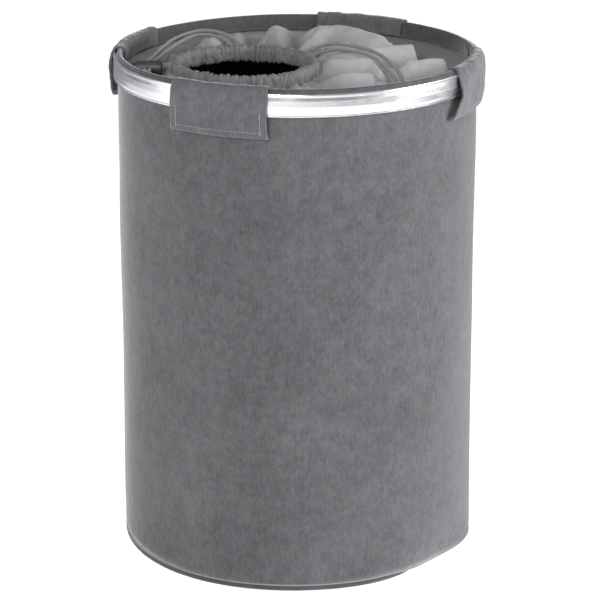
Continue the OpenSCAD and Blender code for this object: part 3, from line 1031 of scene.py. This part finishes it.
# ---- lid ----
# Folds from the neck towards the rim, in millimetres: points (x, y, crest height above the
# mouth's seam), then the half width on the left and on the right, and the end's length
FOLDS = [
    ([(-14, 12, 11), (-19, 60, 13), (-21, 106, 18.5)], 16, 24, 7),
    ([(-42, 30, 6), (-24, 102, 17)], 12, 14, 7),
    ([(1, 13, 13), (23, 91, 20)], 10, 26, 8),
    ([(20, 91, 20), (43, 86, 22.5), (60, 75, 22.5), (77, 61, 20.5), (84, 56, 18)], 13, 46, 6),
    ([(30, 22, 16), (50, 32, 17)], 9, 20, 14),
    ([(14, -12, 10), (48, -7, 17), (78, 8, 19), (111, 17, 19)], 11, 24, 6),
    ([(40, -40, 12), (97, -50, 17.5), (142, -37, 16)], 12, 20, 6),
    ([(16, -51, 9), (32, -46, 17.5), (71, -46, 17.5), (84, -58, 13)], 11, 22, 6),
    ([(14, -90, 4), (42, -85, 13), (95, -77, 11.5)], 10, 17, 8),
    ([(0, -112, 8), (42, -128, 5)], 10, 14, 8),
    ([(-30, -126, 8), (-8, -152, 3)], 8, 10, 6),
    ([(-62, -128, 8), (-66, -150, 2)], 7, 8, 6),
    ([(-96, -112, 8), (-112, -128, 2)], 7, 8, 6),
    ([(-118, -78, 8), (-142, -92, 3)], 8, 9, 6),
    ([(-124, -18, 7), (-150, 10, 2)], 8, 10, 6),
    ([(-108, -2, 9), (-122, 28, 6)], 9, 12, 8),
    ([(-86, 8, 10), (-95, 40, 13), (-86, 60, 17.5)], 17, 17, 8),
    ([(-58, 14, 10), (-62, 98, 12.5)], 14, 16, 8),
]
LID_ROWS = 60
LID_STEPS = 400
LID_T = 0.8 * MM
UNDER = 0.9 * MM
# A high power lets the highest fold at a point win, with a soft valley between two
FOLD_POWER = 7
HARD_THINGS = ("stop_barrel_", "stop_button_", "knot_")
ON_LID = [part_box(part + side) for part in HARD_THINGS for side in ("right", "left")]


def slack(turn):
    """How far the lid hangs below its edge on that side: furthest at the front."""
    return 18 * MM * (0.55 - 0.45 * math.sin(turn))


def fold_height(x, y, fold, ground):
    """How far one fold lifts the cloth above the ground at a point, in millimetres."""
    line, left, right, end = fold
    best = 0.0
    last = len(line) - 2
    for i, (a, b) in enumerate(zip(line, line[1:])):
        dx, dy = b[0] - a[0], b[1] - a[1]
        reach = math.hypot(dx, dy)
        along = ((x - a[0]) * dx + (y - a[1]) * dy) / reach
        side = ((x - a[0]) * dy - (y - a[1]) * dx) / reach
        t = min(max(along / reach, 0), 1)
        width = (right if side > 0 else left) * (0.5 + 0.5 * (i + t) / (last + 1))
        beyond = max(-along, along - reach, 0)
        outside = end if along > reach and i == last else width
        q = math.hypot(side / width, beyond / outside)
        crest = a[2] + (b[2] - a[2]) * t - ground
        if q < 1 and crest > 0:
            best = max(best, crest * (1 - q**1.7))
    return best


def lid_height(x, y, s, turn):
    """The lid's height and its share of a crest, the mask for its painted shade: slack cloth, folds and
    gathers at the neck.
    """
    low = (SEWN - 0.4 * MM) + 5 * MM * s - slack(turn) * math.sin(math.pi * s**0.7)
    ground = (low - SEAM) / MM
    px, py = x / MM, y / MM
    px += wave((x, y, 0), 0.045, 41) * 3
    py += wave((x, y, 0), 0.045, 42) * 3
    lifts = [fold_height(px, py, fold, ground) for fold in FOLDS]
    lift = sum(each**FOLD_POWER for each in lifts) ** (1 / FOLD_POWER)
    from_neck = math.hypot(x - NECK.x, y - NECK.y) - NECK_R
    around = math.atan2(y - NECK.y, x - NECK.x)
    gather = math.exp(-from_neck / (14 * MM))
    waver = 5 * wave((x, y, 0), 0.03, 43)
    ripple = (math.sin(46 * around + waver) + 0.6 * math.sin(29 * around - waver)) * 1.9 * gather
    along = Vector((from_neck * 0.35, around * 0.07, 0))
    crease = wave((x, y, 0), 0.03, 44) * 1.2 + wave(along, 0.007, 45) * 0.8
    crease += wave(along, 0.018, 47) * 1.4
    edge = smoothed(s / 0.08)
    rise = (lift + crease * edge) * edge + ripple * smoothed(s / 0.3)
    # The crest share masks painted shade: low in the valleys, lower near the neck gathers, with blotches of
    # painted crease shade.
    share = min(max(lift * edge / 17, 0), 1) * (1 - 0.6 * gather) + 0.12 * wave(along, 0.012, 46)
    return low + rise * MM, share


def under_cords(x, y, z):
    """Keeps the lid just under the cords, knots and stops."""
    for path in TAILS.values():
        for point in path[2:]:
            away = math.hypot(point.x - x, point.y - y)
            if away < 14 * MM:
                beside = max(0, away - 2 * MM)
                z = min(z, point.z - CORD_D / 2 - UNDER + beside**2 / (9 * MM))
    for low, high in ON_LID:
        out_x = max(low.x - x, 0, x - high.x)
        out_y = max(low.y - y - 10 * MM, 0, y - high.y - 10 * MM)
        away = math.hypot(out_x, out_y)
        if away < 12 * MM:
            z = min(z, low.z - UNDER + away**2 / (6 * MM))
    return z


def lid_place(point):
    """A point's place and crest share (the mask for the lid's painted shade), from its radius: 1 at the
    mouth and 0.5 at the neck.
    """
    turn = math.atan2(point.y, point.x)
    s = (1 - math.hypot(point.x, point.y)) / 0.5
    mouth = polar(FACING_R - 0.4 * MM, math.degrees(turn), 0)
    neck = Vector((NECK.x, NECK.y, 0)) + polar(NECK_R - 1.5 * MM, math.degrees(turn), 0)
    at = mouth.lerp(neck, s)
    z, crest = lid_height(at.x, at.y, s, turn)
    z = under_cords(at.x, at.y, z)
    z -= back_drop(Vector((at.x, at.y, SEWN))) * (1 - smoothed(s / 0.3))
    return Vector((at.x, at.y, z)), crest


def add_lid():
    """The lid: a ring of cloth, sewn in under the facing and gathered to the neck."""
    outline = [(1 - 0.5 * s, 0) for s in steps_between(0, 1, 1 / LID_ROWS)]
    bm = lathe(outline, LID_STEPS)
    # crest: the share of a crest, which the lid's material uses to paint shade into the valleys
    crest = bm.verts.layers.float.new("crest")
    for vert in bm.verts:
        vert.co, vert[crest] = lid_place(vert.co)
    lid = add_piece("lid_cloth", bm, LID_CLOTH, faces_out=False)
    if lid.data.polygons[0].normal.z < 0:
        lid.data.flip_normals()
    add_thickness(lid, LID_T, -1)
    neck_blend(lid)
    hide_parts("lid_fabric")


add_lid()


# ---- neck casing ----
CASING_CORE = NECK_R - 3 * MM


def rounded(share, half):
    """A share of a half width, from -1 to 1, pushed out towards a box with round corners."""
    return math.copysign(abs(share) ** 0.75, share) * half


def ruffled(point):
    """Gathers the casing: two sets of pleats that drift apart, and small knobs."""
    around = math.atan2(point.y, point.x)
    side = Vector((math.hypot(point.x, point.y) - CASING_CORE, point.z - NECK.z))
    on_ring = Vector((math.cos(around) * 0.07, math.sin(around) * 0.07, point.z * 0.6))
    spread = wave(on_ring, 0.018, 51)
    pleat = abs(math.sin(33 * around + 4.5 * spread)) ** 0.6
    second = abs(math.sin(52 * around - 3 * spread + 1.3)) ** 0.7
    size = 2.0 + 1.6 * wave(on_ring, 0.012, 52)
    knobs = wave(on_ring, 0.006, 53) * 1.2
    out = (pleat * size + second + knobs - 1.4) * MM
    grown = side * (1 + out / side.length)
    at = polar(CASING_CORE + grown.x, math.degrees(around), NECK.z + grown.y)
    return at + Vector((NECK.x, NECK.y, 0))


def add_casing():
    """The drawcords' tunnel, gathered into fine ruffles."""
    sides = 28
    section = []
    for i in range(sides):
        turn = 2 * math.pi * i / sides
        out = rounded(math.cos(turn), 3.4 * MM)
        section.append((CASING_CORE + out, NECK.z + rounded(math.sin(turn), 7.4 * MM)))
    casing = ring_piece(
        "ruffled_casing", "neck_casing", section, 660, ruffled, CASING_CLOTH, "neck"
    )
    add_thickness(casing, 0.4 * MM, -1)


add_casing()


# ---- CAD nodes that show: their finishes ----
def finish_nodes():
    """Gives the CAD's own solids their materials."""
    finishes = {"hoop_profile": ALUMINIUM, "hoop_rivets": ALUMINIUM, "hoop_connector": STEEL}
    for side in ("right", "left"):
        finishes["drawcord_" + side] = BRAID
        finishes["stop_barrel_" + side] = STOP_PLASTIC
        finishes["stop_button_" + side] = STOP_PLASTIC
    for node, finish in finishes.items():
        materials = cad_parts[node].data.materials
        materials.clear()
        materials.append(finish)


finish_nodes()


# ---- studio ----
def add_light(name, spot, aim, size, power):
    """A square soft box that looks at a point."""
    data = bpy.data.lights.new(name, "AREA")
    data.shape = "RECTANGLE"
    data.size, data.size_y = size
    data.energy = power
    light = bpy.data.objects.new(name, data)
    light.location = spot
    heading = Vector(aim) - Vector(spot)
    light.rotation_euler = heading.to_track_quat("-Z", "Y").to_euler()
    bpy.context.scene.collection.objects.link(light)


def add_world():
    """White to the camera, and to everything else grey that is lightest at eye level."""
    world = bpy.data.worlds.new("studio")
    world.use_nodes = True
    bpy.context.scene.world = world
    nodes = Nodes(world.node_tree)
    heading = nodes.add("ShaderNodeTexCoord", {}, {}, "Generated")
    up = nodes.parts(heading)[2].within(-1, 1)
    shades = ((0.0, 0.25), (0.44, 0.3), (0.56, 0.35), (1.0, 0.3))
    stops = [(place, (grey * 0.97, grey * 0.99, grey * 1.03)) for place, grey in shades]
    sky = nodes.add("ShaderNodeValToRGB", {"stops": stops}, {0: up})
    soft = nodes.add("ShaderNodeBackground", {}, {"Color": sky})
    white = nodes.add("ShaderNodeBackground", {}, {"Color": (1, 1, 1), "Strength": 1.05})
    seen = nodes.add("ShaderNodeLightPath", {}, {}, "Is Camera Ray")
    mixed = nodes.add("ShaderNodeMixShader", {}, {0: seen, 1: soft, 2: white})
    nodes.feed(nodes.tree.nodes["World Output"].inputs["Surface"], mixed)
    nodes.tree.nodes.remove(nodes.tree.nodes["Background"])


def add_studio():
    """A white floor and soft light from all round, stronger from the right."""
    bm = bmesh.new()
    bmesh.ops.create_circle(bm, cap_ends=True, segments=96, radius=2.2)
    mesh = bpy.data.meshes.new("floor")
    bm.to_mesh(mesh)
    bm.free()
    paper = Finish("paper", Roughness=1.0, Specular_IOR_Level=0.0)
    paper.set("Base Color", (0.8, 0.8, 0.8))
    paper.set("Emission Color", (1, 1, 1))
    paper.set("Emission Strength", 0.7)
    mesh.materials.append(paper.material)
    floor = bpy.data.objects.new("floor", mesh)
    floor.location = (-0.75, -0.9, -0.5 * MM)
    bpy.context.scene.collection.objects.link(floor)

    add_world()
    add_light("right", (2.25, -0.6, 0.8), (0, 0, 0.25), (0.8, 1.0), 64)
    add_light("left", (-2.1, -0.6, 0.8), (0, 0, 0.22), (1.5, 1.5), 10)
    add_light("key", (-0.7, -2.6, 1.75), (0, 0, 0.4), (0.8, 0.8), 56)
    bpy.context.scene.view_settings.view_transform = "Standard"


add_studio()
